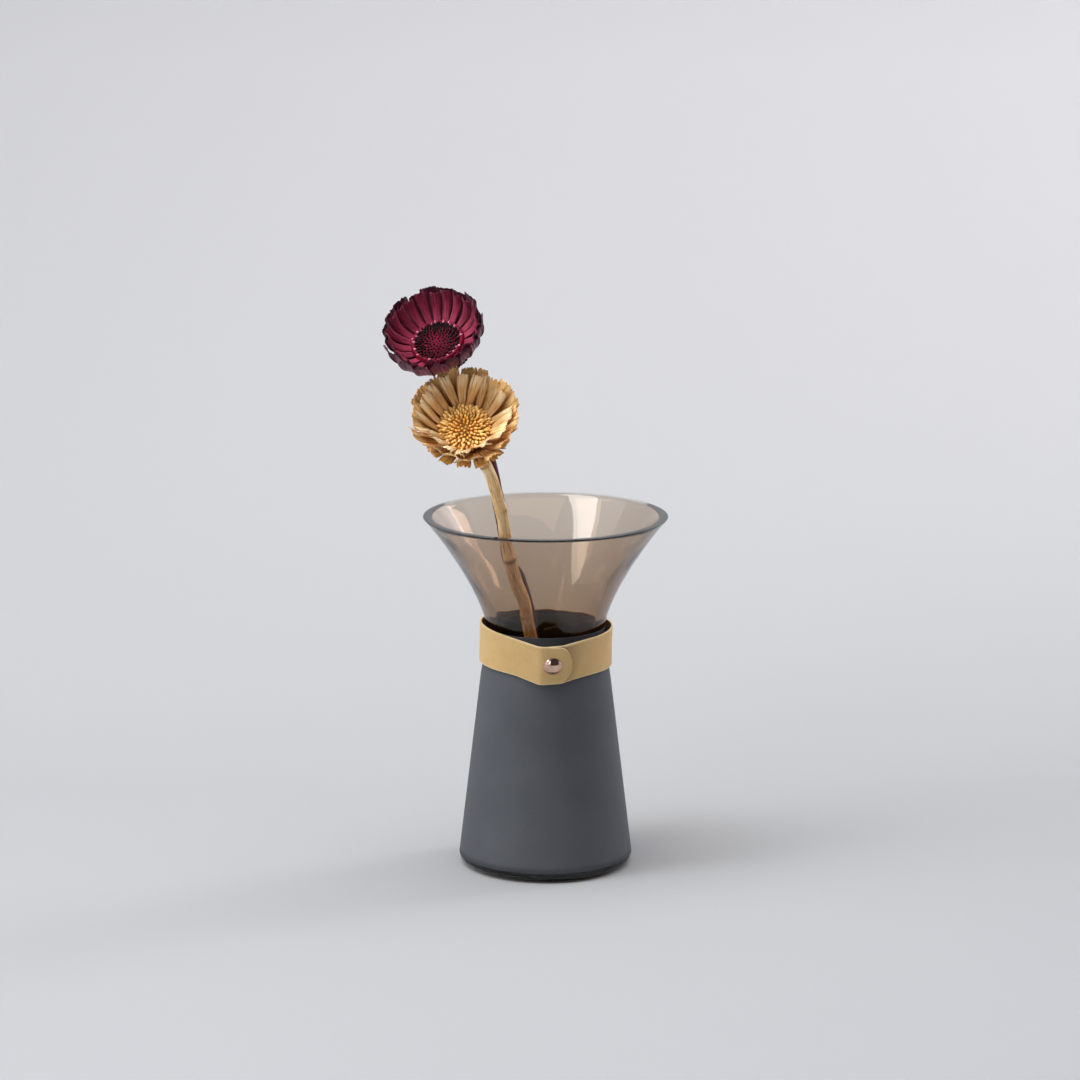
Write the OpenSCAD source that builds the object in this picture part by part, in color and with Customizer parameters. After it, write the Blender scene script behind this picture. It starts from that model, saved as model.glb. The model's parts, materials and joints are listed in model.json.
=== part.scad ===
// Two dried cone flowers, one tan and one burgundy, standing in a flared grey glass vase.
// A snapped leather strap hangs round the neck of the vase.
// Millimetres. Origin at the centre of the foot on the resting plane, +Z up, front towards -Y.

/* [Vase] */
// Height of the vase
vase_h = 200; // [196:0.5:205]
// Outer radius where the cone would meet the resting plane
foot_r = 49.6; // [48.5:0.1:51]
// Outer radius at the top of the cone
cone_top_r = 37; // [36.6:0.1:37.2]
// Outer radius of the narrowest part of the neck
neck_r = 33.5; // [33:0.1:33.8]
// Outer radius of the rim
rim_r = 68.9; // [66:0.1:72]
// Width of the flat ground land on the rim
rim_wall = 5.2; // [4.4:0.1:6]
// Thickness of the glass at the neck
neck_wall = 6.3; // [5.4:0.1:6.6]
// Thickness of the glass in the body
body_wall = 5.4; // [4.6:0.1:6]
// Thickness of the floor of the vase
floor_t = 9; // [8:0.1:9.2]
// Radius of the rounded heel
heel_r = 5; // [3.5:0.1:6]
// Radius of the corner between the floor and the wall inside
well_r = 8; // [6:0.1:10]

/* [Matte coat] */
// Thickness of the sprayed coat
coat_t = 0.1; // [0.08:0.01:0.12]
// Height of the lower edge of the coat
coat_low_z = 5.5; // [5.2:0.1:8]
// Height of the upper edge of the coat, just over the strap
coat_top_z = 137.5; // [136:0.5:138.5]

/* [Strap] */
// Width of the leather
strap_w = 23; // [22:0.1:24]
// Thickness of the leather
strap_t = 1.1; // [1:0.05:1.2]
// Height of the lower edge at the back
strap_low_z = 116; // [115.8:0.1:117]
// How far the lower edge drops towards the snap
strap_low_drop = 3.9; // [3:0.1:4.5]
// How far the upper edge drops towards the snap
strap_top_drop = 3.8; // [3:0.1:4.5]
// How much the strap hangs lower at the right than at the left, per millimetre across
strap_tilt = 0.04; // [0:0.005:0.05]
// Distance from the vase's axis to the lower edge at the snap
nose_low = 39.5; // [39:0.1:41]
// Distance from the vase's axis to the upper edge at the snap
nose_top = 45.6; // [44.5:0.1:46.5]
// Direction of the snap, turned from the front towards +X
nose_az = 5.3; // [0:0.1:20]
// Gap between the two layers of leather at the snap
lap_gap = 0.9; // [0.9:0.05:1.1]

/* [Snap] */
// Diameter of the domed cap
cap_d = 10.5; // [9.5:0.1:11]
// Height of the domed cap
cap_h = 2.6; // [2:0.1:3]
// Diameter of the barrels that hold the snap in the leather
barrel_d = 3; // [2.6:0.1:3.4]

/* [Tan flower] */
// Radius of the open flower
tan_r = 28; // [27:0.1:28.4]
// Depth of the flower from its rim to its disc
tan_depth = 14; // [13:0.1:14.5]
// Radius of the disc of florets
tan_disc_r = 12; // [11:0.1:12.5]

/* [Burgundy flower] */
// Radius of the open flower
burgundy_r = 26.6; // [25:0.1:27]
// Depth of the flower from its rim to its disc
burgundy_depth = 14; // [12:0.1:14.5]
// Radius of the disc of florets
burgundy_disc_r = 12.6; // [12:0.1:13]

/* [Hidden] */

lathe_fn = 160;
small_fn = 48;

// Outline of the glass: heel, cone, neck and flare, as heights and control points.
cone_top_z = 105;
neck_z = 135;
neck_lead = 13;
flare_lead = [25.5, 14.5];
inner_neck_r = neck_r - neck_wall;
inner_lead = [16.5, 17.5];
cone_slope = (foot_r - cone_top_r) / cone_top_z;

// Loop of the strap at its lower and upper edge: circle round the glass, then straight to the snap.
loop_low = [36.9, [0, 0], nose_low];
loop_top = [36.9, [0.4, -1.5], nose_top];
nose_half = 4.5;
nose_level = 6;
nose_bend = 6;
nose_lean = atan2(nose_top - nose_low, strap_w - strap_top_drop + strap_low_drop);
lap_play = 0.02;
lap_step = (strap_t + lap_gap + lap_play) / cos(nose_lean);
lap_end = strap_w / 2;
loop_arc_steps = 5;
loop_back_steps = 44;

// Middle lines of the stems, from the foot to the flower.
tan_line = [
  [22.5, 8, 11], [15.5, 0.5, 40], [5, -9, 78], [-4, -17.6, 115], [-7.3, -21.2, 134],
  [-9.4, -23.6, 146], [-11.4, -26.8, 158], [-16, -31.4, 171], [-19.2, -35.6, 184],
  [-22.4, -39.8, 198], [-23.4, -42.4, 206], [-25.8, -45.6, 217], [-29.6, -48.8, 231],
  [-33.6, -50.6, 239.8], [-38.4, -50.8, 246], [-42.2, -53.6, 250.8], [-43.2, -57.3, 254.8]
];
tan_knots = [0.14, 0.33, 0.5, 0.66, 0.8];
burgundy_line = [
  [17, 24, 11], [12, 15, 40], [4, 4, 78], [-3.5, -8.6, 115], [-6.8, -13.2, 133],
  [-9, -16.2, 150], [-14.4, -20.8, 170], [-19.4, -23.4, 179], [-22.3, -26, 193],
  [-25.6, -28.6, 210], [-28.6, -31, 228], [-32.4, -32.2, 243], [-40, -32.6, 262],
  [-48.6, -31.4, 281], [-54.2, -33, 291.4], [-56.7, -38.5, 297.6]
];
burgundy_knots = [0.18, 0.37, 0.55, 0.62, 0.78];
stem_r = 3.3;
knot_rise = 0.5;
knot_length = 0.012;
stem_sides = 10;
stem_rings = 44;

// Place of each flower: centre of its disc, elevation of its face and its turn from the front to -X.
tan_place = [[-43.4, -67, 263.4], 42, 1];
burgundy_place = [[-59.1, -47, 307.2], 47, 16];

// Rows of bracts on each flower: foot, bend and tip as [radius, height], count, turn and tip width.
tan_inner = [[13.2, -3.2], [20.5, 5.5], [tan_r - 2.8, tan_depth], 22, 0, 6.6];
tan_outer = [[13.4, -4.8], [25, 2], [tan_r, tan_depth - 0.6], 22, 8.2, 7.4];
tan_back = [[10, -8.4], [18, -8], [22.8, -2.4], 15, 3, 6.2];
burgundy_inner = [[13.9, -3.2], [25.6, 0.8], [burgundy_r - 3, burgundy_depth - 0.2], 22, 4, 5.9];
burgundy_outer = [[14.2, -4.8], [burgundy_r + 2.2, -1], [burgundy_r - 1, burgundy_depth], 20, 0, 7];
burgundy_back = [[9.8, -9], [16.6, -9.2], [19, -5.4], 15, 6, 5.4];
bract_t = 0.8;
bract_steps = 5;
foot_share = 0.92;
disc_rise = 3;
disc_base_z = -2;
dome_steps = 8;

function unit(v) = v / norm(v);

function mix(a, b, t) = a + (b - a) * t;

function bezier3(a, b, c, t) = mix(mix(a, b, t), mix(b, c, t), t);

function bezier4(a, b, c, d, t) = mix(bezier3(a, b, c, t), bezier3(b, c, d, t), t);

function curve_points(a, b, c, d, steps) =
  [for (i = [1:steps]) bezier4(a, b, c, d, i / steps)];

function arc_points(centre, r, from, to, steps) =
  [for (i = [0:steps]) let (a = mix(from, to, i / steps)) centre + r * [cos(a), sin(a)]];

// Outer and inner outline of the glass, each from the axis outwards and up.
function cone_r(z) = foot_r - cone_slope * z;

function glass_outside() = concat(
  [[0, 0]],
  arc_points([cone_r(heel_r) - heel_r, heel_r], heel_r, -90, 0, 8),
  [[cone_top_r, cone_top_z]],
  curve_points([cone_top_r, cone_top_z], [cone_r(cone_top_z + neck_lead), cone_top_z + neck_lead],
    [neck_r, neck_z - neck_lead], [neck_r, neck_z], 8),
  curve_points([neck_r, neck_z], [neck_r, neck_z + flare_lead.y],
    [rim_r - flare_lead.x * 0.65, vase_h - flare_lead.x * 0.76], [rim_r, vase_h], 16)
);

function glass_inside() = concat(
  [[0, floor_t]],
  arc_points([cone_r(floor_t + well_r) - body_wall - well_r, floor_t + well_r], well_r, -90, 0, 6),
  [[cone_top_r - body_wall, cone_top_z]],
  curve_points([cone_top_r - body_wall, cone_top_z],
    [cone_top_r - body_wall - 1.5, cone_top_z + neck_lead],
    [inner_neck_r, neck_z - neck_lead], [inner_neck_r, neck_z], 8),
  curve_points([inner_neck_r, neck_z], [inner_neck_r, neck_z + inner_lead.x],
    [rim_r - rim_wall - inner_lead.y * 0.85, vase_h - inner_lead.y], [rim_r - rim_wall, vase_h], 16)
);

function reversed(list) = [for (i = [len(list) - 1:-1:0]) list[i]];

module vase_glass() {
  color([0.45, 0.42, 0.4, 0.4])
    rotate_extrude($fn = lathe_fn)
      polygon(concat(glass_outside(), reversed(glass_inside())));
}

// The coat covers the straight cone, then follows the glass to the neck.
module matte_coat() {
  outline = glass_outside();
  above = len([for (p = outline) if (p.y < coat_top_z) p]);
  last = outline[above - 1];
  top_edge = mix(last, outline[above], (coat_top_z - last.y) / (outline[above].y - last.y));
  under = [for (p = outline) if (p.y > coat_low_z && p.y < coat_top_z) p];
  skin = concat([[cone_r(coat_low_z), coat_low_z]], under, [top_edge]);
  color([0.27, 0.27, 0.29])
    rotate_extrude($fn = lathe_fn)
      polygon(concat(skin, reversed([for (p = skin) p + [coat_t, 0]])));
}

// A closed solid through rings of points, each ring in the same order.
module loft(rings) {
  sides = len(rings[0]);
  last = len(rings) - 1;
  walls = [
    for (i = [0:last - 1], j = [0:sides - 1])
      let (k = (j + 1) % sides)
        [i * sides + j, i * sides + k, (i + 1) * sides + k, (i + 1) * sides + j]
  ];
  ends = [
    [for (j = [sides - 1:-1:0]) j],
    [for (j = [0:sides - 1]) last * sides + j]
  ];
  polyhedron(points = [for (ring = rings) each ring], faces = concat(walls, ends));
}

// Direction square to the strap at angle a from the snap, counted towards -X.
function outward(a) = [-sin(a), -cos(a)];

function along(a) = [-cos(a), sin(a)];

// Angle from the snap at which a straight run to the bend of radius bend leaves the circle.
function leave_angle(loop, side, bend) =
  let (to_bend = [side * nose_half, -(loop[2] - nose_bend)] - loop[1],
       turn = atan2(-side * to_bend.x, -to_bend.y))
  abs(turn) + acos((loop[0] - bend) / norm(to_bend));

// One edge of the strap as [point, angle]: the outer end, the loop round the glass, the inner end.
function loop_path(loop) =
  let (bend_y = -(loop[2] - nose_bend),
       left = [-nose_half, bend_y],
       right = [nose_half, bend_y],
       under = nose_bend - lap_step,
       left_leave = leave_angle(loop, -1, nose_bend),
       right_leave = leave_angle(loop, 1, under),
       end_run = lap_end - nose_half - nose_bend * right_leave * PI / 180)
  concat(
    [for (f = [1, 0.5]) [right + nose_bend * outward(-right_leave)
      - end_run * f * along(-right_leave), -right_leave]],
    [for (i = [0:loop_arc_steps]) let (a = mix(-right_leave, 0, i / loop_arc_steps))
      [right + nose_bend * outward(a), a]],
    [for (i = [0:loop_arc_steps]) let (a = mix(0, left_leave, i / loop_arc_steps))
      [left + nose_bend * outward(a), a]],
    [for (i = [0:loop_back_steps]) let (a = mix(left_leave, 360 - right_leave, i / loop_back_steps))
      [loop[1] + loop[0] * outward(a), a]],
    [for (i = [0:loop_arc_steps]) let (a = mix(-right_leave, 0, i / loop_arc_steps))
      [right + under * outward(a), a]],
    [for (i = [0:loop_arc_steps]) let (a = mix(0, left_leave, i / loop_arc_steps))
      [left + under * outward(a), a]],
    [for (f = [0.5, 1]) [left + under * outward(left_leave)
      + end_run * f * along(left_leave), left_leave]]
  );

// Heights of the two edges at a point, which drop towards the snap and to the right of it.
function front_share(p, nose) = min(max(-p.y / (nose - lap_step), 0), 1);

function tilt_drop(p) = strap_tilt * (p.x - min(max(p.x, -nose_level), nose_level));

function low_height(p) = strap_low_z - tilt_drop(p)
  - strap_low_drop * pow(front_share(p, nose_low), 9);

function top_height(p) = strap_low_z + strap_w - tilt_drop(p)
  - strap_top_drop * pow(front_share(p, nose_top), 2);

// Length of the strap from the snap to each point, for the rounding of its ends.
function running(points, i = 0, sum = 0) =
  i == len(points) - 1 ? [sum]
    : concat([sum], running(points, i + 1, sum + norm(points[i + 1] - points[i])));

function end_width(s) = s >= lap_end ? 0.04 : max(0.04, pow(1 - pow(s / lap_end, 2.6), 0.55));

function strap_rings() =
  let (low = loop_path(loop_low),
       top = loop_path(loop_top),
       middle = [for (i = [0:len(low) - 1]) (low[i][0] + top[i][0]) / 2],
       s = running(middle),
       snap_at = loop_arc_steps + 2,
       start = (s[snap_at] + s[snap_at + 1]) / 2,
       finish = s[len(s) - 1] - start)
  [for (i = [0:len(low) - 1])
    let (from_end = i <= snap_at ? start - s[i]
           : i >= len(s) - snap_at - 1 ? s[i] - finish : 0,
         w = end_width(from_end),
         l = [low[i][0].x, low[i][0].y, low_height(low[i][0])],
         t = [top[i][0].x, top[i][0].y, top_height(top[i][0])],
         a = (low[i][1] + top[i][1]) / 2,
         run = [along(a).x, along(a).y, 0],
         out = unit(cross(run, unit(t - l))) * (strap_t / 2),
         side = out * [outward(a).x, outward(a).y, 0] > 0 ? 1 : -1,
         p = mix(l, t, 0.5 - w / 2),
         q = mix(l, t, 0.5 + w / 2))
    [p + side * out, p - side * out, q - side * out, q + side * out]];

// Moves a child from the origin, facing +Z, to the snap's axis on the face of the outer layer.
module at_snap() {
  low = [0, -nose_low];
  top = [0, -nose_top];
  rotate([0, 0, nose_az])
    translate([0, (low.y + top.y) / 2, (low_height(low) + top_height(top)) / 2])
      rotate([90 + nose_lean, 0, 0])
        translate([0, 0, strap_t / 2])
          children();
}

module strap() {
  color([0.78, 0.66, 0.42])
    difference() {
      rotate([0, 0, nose_az]) loft(strap_rings());
      at_snap() translate([0, 0, -8]) cylinder(d = barrel_d + 0.1, h = 12, $fn = small_fn);
    }
}

// Heights through the snap, counted down from the outer face of the leather.
socket_top = -strap_t;
socket_low = -strap_t - lap_gap;
post_top = socket_low - strap_t - lap_play;
socket_d = 8.4;
snap_hole_d = 4;
post_t = 0.5;
stud_flange_t = 0.3;

module snap_cap() {
  dome_r = (pow(cap_d / 2, 2) + pow(cap_h, 2)) / (2 * cap_h);
  edge = asin(cap_d / 2 / dome_r);
  color([0.85, 0.7, 0.6])
    at_snap() {
      translate([0, 0, cap_h - dome_r])
        rotate_extrude($fn = small_fn)
          polygon(concat([[0, dome_r - cap_h]],
            arc_points([0, 0], dome_r, 90 - edge, 90, dome_steps)));
      translate([0, 0, socket_top]) cylinder(d = barrel_d, h = strap_t, $fn = small_fn);
    }
}

module snap_socket() {
  color([0.8, 0.68, 0.58])
    at_snap()
      difference() {
        translate([0, 0, socket_low]) cylinder(d = socket_d, h = lap_gap, $fn = small_fn);
        translate([0, 0, socket_low - 1])
          cylinder(d = snap_hole_d, h = lap_gap + 0.7, $fn = small_fn);
      }
}

module snap_stud() {
  color([0.8, 0.68, 0.58])
    at_snap()
      translate([0, 0, socket_low])
        cylinder(d = snap_hole_d - 0.3, h = lap_gap - stud_flange_t - 0.1, $fn = small_fn);
}

module snap_post() {
  color([0.8, 0.68, 0.58])
    at_snap() {
      translate([0, 0, post_top])
        cylinder(d = barrel_d, h = socket_low - post_top, $fn = small_fn);
      translate([0, 0, post_top - post_t]) cylinder(d = socket_d, h = post_t, $fn = small_fn);
    }
}

// Smooth line through hand-set points, at share t of the way from the first to the last.
function line_point(line, t) =
  let (n = len(line) - 1,
       s = min(t * n, n - 0.0001),
       i = floor(s),
       u = s - i,
       b = line[i],
       c = line[i + 1],
       a = i == 0 ? 2 * b - c : line[i - 1],
       d = i == n - 1 ? 2 * c - b : line[i + 2])
  0.5 * (2 * b + (c - a) * u + (2 * a - 5 * b + 4 * c - d) * u * u
    + (3 * b - 3 * c + d - a) * u * u * u);

function knot_swell(t, knots) =
  max([for (k = knots) knot_rise * exp(-pow((t - k), 2) / (knot_length * knot_length))]);

function stem_ring(line, knots, t) =
  let (p = line_point(line, t),
       ahead = unit(line_point(line, min(t + 0.01, 1)) - line_point(line, max(t - 0.01, 0))),
       across = unit(cross(ahead, [1, 0, 0])),
       up = cross(ahead, across),
       r = stem_r + knot_swell(t, knots))
  [for (j = [0:stem_sides - 1]) let (a = -j * 360 / stem_sides)
    p + r * (cos(a) * across + sin(a) * up)];

module stem(line, knots) {
  loft([for (i = [0:stem_rings]) stem_ring(line, knots, i / stem_rings)]);
}

// Moves a flower from the origin, facing +Z, to its place.
module at_flower(place) {
  translate(place[0])
    rotate([0, 0, -place[2]])
      rotate([90 - place[1], 0, 0])
        children();
}

module receptacle(disc_r) {
  rotate_extrude($fn = small_fn)
    polygon([
      [0, -16], [4.2, -16], [5.6, -13], [9, -9.6], [disc_r + 1.2, -5.4], [disc_r + 2.4, -2.6],
      [disc_r + 2.2, disc_base_z], [0, disc_base_z]
    ]);
}

// Low crowned disc of packed florets.
module florets(disc_r) {
  dome_r = (pow(disc_r, 2) + pow(disc_rise, 2)) / (2 * disc_rise);
  edge = asin(disc_r / dome_r);
  translate([0, 0, disc_base_z + disc_rise - dome_r])
    rotate_extrude($fn = small_fn)
      polygon(concat([[0, dome_r - disc_rise]], arc_points([0, 0], dome_r, 90 - edge, 90, dome_steps)));
}

// One curved bract from foot to tip, in the plane of +X and +Z.
module bract(row) {
  count = row[3];
  foot_w = foot_share * 2 * PI * row[0].x / count;
  rings = [
    for (i = [0:bract_steps])
      let (t = i / bract_steps,
           p = bezier3(row[0], row[1], row[2], t),
           q = bezier3(row[0], row[1], row[2], t + 0.01),
           out = unit([(q - p).y, -(q - p).x]) * bract_t / 2,
           w = mix(foot_w, row[5], t) * (t > 0.9 ? 0.72 : 1) / 2)
        [
          [p.x - out.x, -w, p.y - out.y], [p.x + out.x, -w, p.y + out.y],
          [p.x + out.x, w, p.y + out.y], [p.x - out.x, w, p.y - out.y]
        ]
  ];
  loft(rings);
}

module bract_row(row) {
  for (i = [0:row[3] - 1])
    rotate([0, 0, row[4] + i * 360 / row[3]]) bract(row);
}

tan_tone = [0.85, 0.69, 0.44];
burgundy_tone = [0.5, 0.1, 0.25];

module tan_stem() {
  color([0.8, 0.66, 0.42]) stem(tan_line, tan_knots);
}

module tan_receptacle() {
  color([0.7, 0.52, 0.3]) at_flower(tan_place) receptacle(tan_disc_r);
}

module tan_florets() {
  color([0.83, 0.62, 0.32]) at_flower(tan_place) florets(tan_disc_r);
}

module tan_inner_bracts() {
  color(tan_tone) at_flower(tan_place) bract_row(tan_inner);
}

module tan_outer_bracts() {
  color(tan_tone) at_flower(tan_place) bract_row(tan_outer);
}

module tan_back_bracts() {
  color([0.72, 0.55, 0.33]) at_flower(tan_place) bract_row(tan_back);
}

module burgundy_stem() {
  color([0.26, 0.1, 0.15]) stem(burgundy_line, burgundy_knots);
}

module burgundy_receptacle() {
  color([0.3, 0.08, 0.14]) at_flower(burgundy_place) receptacle(burgundy_disc_r);
}

module burgundy_florets() {
  color([0.62, 0.1, 0.28]) at_flower(burgundy_place) florets(burgundy_disc_r);
}

module burgundy_inner_bracts() {
  color(burgundy_tone) at_flower(burgundy_place) bract_row(burgundy_inner);
}

module burgundy_outer_bracts() {
  color([0.42, 0.07, 0.2]) at_flower(burgundy_place) bract_row(burgundy_outer);
}

module burgundy_back_bracts() {
  color([0.2, 0.04, 0.1]) at_flower(burgundy_place) bract_row(burgundy_back);
}

vase_glass();
matte_coat();
strap();
snap_cap();
snap_socket();
snap_stud();
snap_post();
tan_stem();
tan_receptacle();
tan_florets();
tan_inner_bracts();
tan_outer_bracts();
tan_back_bracts();
burgundy_stem();
burgundy_receptacle();
burgundy_florets();
burgundy_inner_bracts();
burgundy_outer_bracts();
burgundy_back_bracts();
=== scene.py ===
# Two dried cone flowers in a flared grey glass vase, with a snapped leather strap round its neck.
import json
import math
import random

import bmesh
import bpy
from mathutils import Matrix, Vector, noise

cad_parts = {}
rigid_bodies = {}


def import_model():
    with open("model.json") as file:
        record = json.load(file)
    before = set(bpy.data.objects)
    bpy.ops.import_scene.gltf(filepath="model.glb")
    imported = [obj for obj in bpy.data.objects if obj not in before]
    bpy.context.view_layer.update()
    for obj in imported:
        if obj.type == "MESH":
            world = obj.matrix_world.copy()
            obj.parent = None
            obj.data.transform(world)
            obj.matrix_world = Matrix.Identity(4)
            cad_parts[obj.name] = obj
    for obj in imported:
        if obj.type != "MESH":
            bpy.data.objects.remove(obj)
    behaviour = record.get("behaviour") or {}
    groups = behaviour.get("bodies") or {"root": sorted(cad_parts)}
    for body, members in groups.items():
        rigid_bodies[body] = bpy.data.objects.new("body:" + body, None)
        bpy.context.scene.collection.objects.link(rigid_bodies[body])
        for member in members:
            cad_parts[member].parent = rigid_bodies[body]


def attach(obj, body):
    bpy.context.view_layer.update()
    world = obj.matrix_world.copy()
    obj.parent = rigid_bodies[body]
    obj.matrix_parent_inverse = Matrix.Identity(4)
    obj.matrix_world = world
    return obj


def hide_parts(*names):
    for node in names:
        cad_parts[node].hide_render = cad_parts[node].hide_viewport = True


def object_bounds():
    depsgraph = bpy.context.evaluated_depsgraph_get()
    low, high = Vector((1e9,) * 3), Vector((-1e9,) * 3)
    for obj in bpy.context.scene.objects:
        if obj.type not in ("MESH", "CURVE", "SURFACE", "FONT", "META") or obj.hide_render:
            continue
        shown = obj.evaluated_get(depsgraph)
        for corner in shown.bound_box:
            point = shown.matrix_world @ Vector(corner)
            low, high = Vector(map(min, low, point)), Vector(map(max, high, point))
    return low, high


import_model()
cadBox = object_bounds()
scene = bpy.context.scene
mm = 0.001


# small tools for meshes and finishes

def paint(red, green, blue):
    # a colour given as it looks on a screen, 0 to 255, made linear for the shaders
    def linear(value):
        value = value / 255
        return value / 12.92 if value <= 0.04045 else ((value + 0.055) / 1.055) ** 2.4
    return (linear(red), linear(green), linear(blue), 1.0)


def mix(a, b, share):
    return a + (b - a) * share


def smoothStep(low, high, value):
    share = min(max((value - low) / (high - low), 0.0), 1.0)
    return share * share * (3 - 2 * share)


def bezier(points, share):
    points = [Vector(p) for p in points]
    while len(points) > 1:
        points = [mix(a, b, share) for a, b in zip(points, points[1:])]
    return points[0]


def bezierRun(points, steps):
    return [bezier(points, i / steps) for i in range(1, steps + 1)]


def arcRun(centre, radius, start, end, steps):
    run = []
    for i in range(steps + 1):
        angle = math.radians(mix(start, end, i / steps))
        run.append(Vector(centre) + radius * Vector((math.cos(angle), math.sin(angle))))
    return run


def addObject(name, data):
    made = bpy.data.objects.new(name, data)
    scene.collection.objects.link(made)
    return made


def cleanMesh(mesh, weld=0.0):
    # welds doubled points where asked and turns the faces outwards
    work = bmesh.new()
    work.from_mesh(mesh)
    if weld:
        bmesh.ops.remove_doubles(work, verts=work.verts, dist=weld)
    bmesh.ops.recalc_face_normals(work, faces=work.faces)
    work.to_mesh(mesh)
    work.free()


def addMarks(marks, *values):
    for key, value in zip(marks, values):
        marks[key].append(value)


def addMesh(name, points, faces, marks=None):
    # marks: one list of numbers per vertex for each named attribute
    mesh = bpy.data.meshes.new(name)
    mesh.from_pydata([tuple(p) for p in points], [], faces)
    for markName, values in (marks or {}).items():
        mark = mesh.attributes.new(markName, "FLOAT", "POINT")
        mark.data.foreach_set("value", values)
    cleanMesh(mesh)
    mesh.shade_smooth()
    return addObject(name, mesh)


def latheMesh(name, outline, sides, place=Matrix.Identity(4), wobble=None):
    # outline: (radius, height) in millimetres, from the axis round and back to the axis
    points, rings, faces = [], [], []
    for index, (radius, height) in enumerate(outline):
        if radius < 1e-6:
            rings.append([len(points)] * sides)
            points.append(Vector((0, 0, height)))
            continue
        rings.append(list(range(len(points), len(points) + sides)))
        for side in range(sides):
            angle = 2 * math.pi * side / sides
            reach = radius + (wobble(index, angle, height) if wobble else 0)
            points.append(Vector((reach * math.cos(angle), reach * math.sin(angle), height)))
    for low, high in zip(rings, rings[1:]):
        for side in range(sides):
            after = (side + 1) % sides
            corners = [low[side], low[after], high[after], high[side]]
            faces.append(list(dict.fromkeys(corners)))
    return addMesh(name, [place @ (p * mm) for p in points], faces)


def newFinish(name):
    finish = bpy.data.materials.new(name)
    finish.use_nodes = True
    tree = finish.node_tree
    return finish, tree, tree.nodes["Principled BSDF"]


def fillSockets(node, links):
    # links: socket name or number to a value or to another node's output
    for key, value in links.items():
        if isinstance(value, bpy.types.NodeSocket):
            node.id_data.links.new(value, node.inputs[key])
        else:
            node.inputs[key].default_value = value


def tubeFaces(rings, sides):
    # faces of a closed tube made of rings of points, with its two ends
    faces = []
    for i in range(rings):
        for j in range(sides):
            k = (j + 1) % sides
            faces.append([i * sides + j, i * sides + k, (i + 1) * sides + k, (i + 1) * sides + j])
    return faces + [list(range(sides)), [rings * sides + j for j in range(sides)]]


def addNode(tree, kind, links=None, **settings):
    node = tree.nodes.new(kind)
    for key, value in settings.items():
        setattr(node, key, value)
    fillSockets(node, links or {})
    return node


def setShader(shader, **values):
    names = {"roughness": "Roughness", "metallic": "Metallic", "specular": "Specular IOR Level",
             "sheen": "Sheen Weight", "sheenRoughness": "Sheen Roughness", "ior": "IOR",
             "transmission": "Transmission Weight", "colour": "Base Color", "normal": "Normal"}
    fillSockets(shader, {names[key]: value for key, value in values.items()})


def addRamp(tree, factor, stops):
    node = addNode(tree, "ShaderNodeValToRGB", {"Fac": factor})
    ramp = node.color_ramp
    while len(ramp.elements) < len(stops):
        ramp.elements.new(0.5)
    for element, (place, colour) in zip(ramp.elements, stops):
        element.position = place
        element.color = colour
    return node.outputs["Color"]


def addMath(tree, operation, first, second=0.0):
    return addNode(tree, "ShaderNodeMath", {0: first, 1: second}, operation=operation).outputs[0]


def times(tree, first, second):
    return addMath(tree, "MULTIPLY", first, second)


def plus(tree, first, second):
    return addMath(tree, "ADD", first, second)


def minus(tree, first, second):
    return addMath(tree, "SUBTRACT", first, second)


def remap(tree, value, low, high, start=0.0, end=1.0, smooth=False):
    # low..high becomes start..end; any of them may be another node's output
    kind = "SMOOTHSTEP" if smooth else "LINEAR"
    return addNode(tree, "ShaderNodeMapRange", {"Value": value, "From Min": low, "From Max": high,
                   "To Min": start, "To Max": end}, interpolation_type=kind).outputs[0]


def greyOf(tree, level):
    return addNode(tree, "ShaderNodeCombineColor", {0: level, 1: level, 2: level}).outputs[0]


def joinVector(tree, x, y, z):
    return addNode(tree, "ShaderNodeCombineXYZ", {0: x, 1: y, 2: z}).outputs[0]


def noiseOf(tree, place, scale, detail, roughness=0.5):
    return addNode(tree, "ShaderNodeTexNoise", {"Vector": place, "Scale": scale,
                   "Detail": detail, "Roughness": roughness}).outputs["Fac"]


def mottle(tree, patchScale, grainScale, grainShare):
    return useGroup(tree, softMottle, {"Place": objectPlace(tree), "Patch Scale": patchScale,
                    "Grain Scale": grainScale, "Grain Share": grainShare})["Mask"]


def mixColour(tree, factor, first, second, blend="MIX"):
    node = addNode(tree, "ShaderNodeMix", {0: factor, 6: first, 7: second},
                   data_type="RGBA", blend_type=blend)
    return node.outputs[2]


def addBump(tree, shader, height, strength, distance):
    bump = addNode(tree, "ShaderNodeBump", {"Height": height, "Strength": strength,
                   "Distance": distance})
    setShader(shader, normal=bump.outputs["Normal"])


def readMark(tree, name):
    return addNode(tree, "ShaderNodeAttribute", attribute_name=name).outputs["Fac"]


def objectPlace(tree):
    return addNode(tree, "ShaderNodeTexCoord").outputs["Object"]


def newTree(kind, name, inputs, outputs):
    # inputs, outputs: a kind of socket to the names of its sockets, with commas between them
    tree = bpy.data.node_groups.new(name, kind)
    for side, sockets in (("INPUT", inputs), ("OUTPUT", outputs)):
        for value, keys in sockets.items():
            for key in keys.split(", "):
                tree.interface.new_socket(key, in_out=side, socket_type="NodeSocket" + value)
    given, result = (tree.nodes.new("NodeGroup" + side) for side in ("Input", "Output"))
    return tree, given.outputs, result


def useGroup(tree, group, links):
    return addNode(tree, "ShaderNodeGroup", links, node_tree=group).outputs


def handOver(piece, body, node, finish=None):
    # a piece made by a geometry tree has its finish already
    if finish:
        piece.data.materials.append(finish)
    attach(piece, body)
    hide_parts(node)


# effects shared by several finishes

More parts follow.
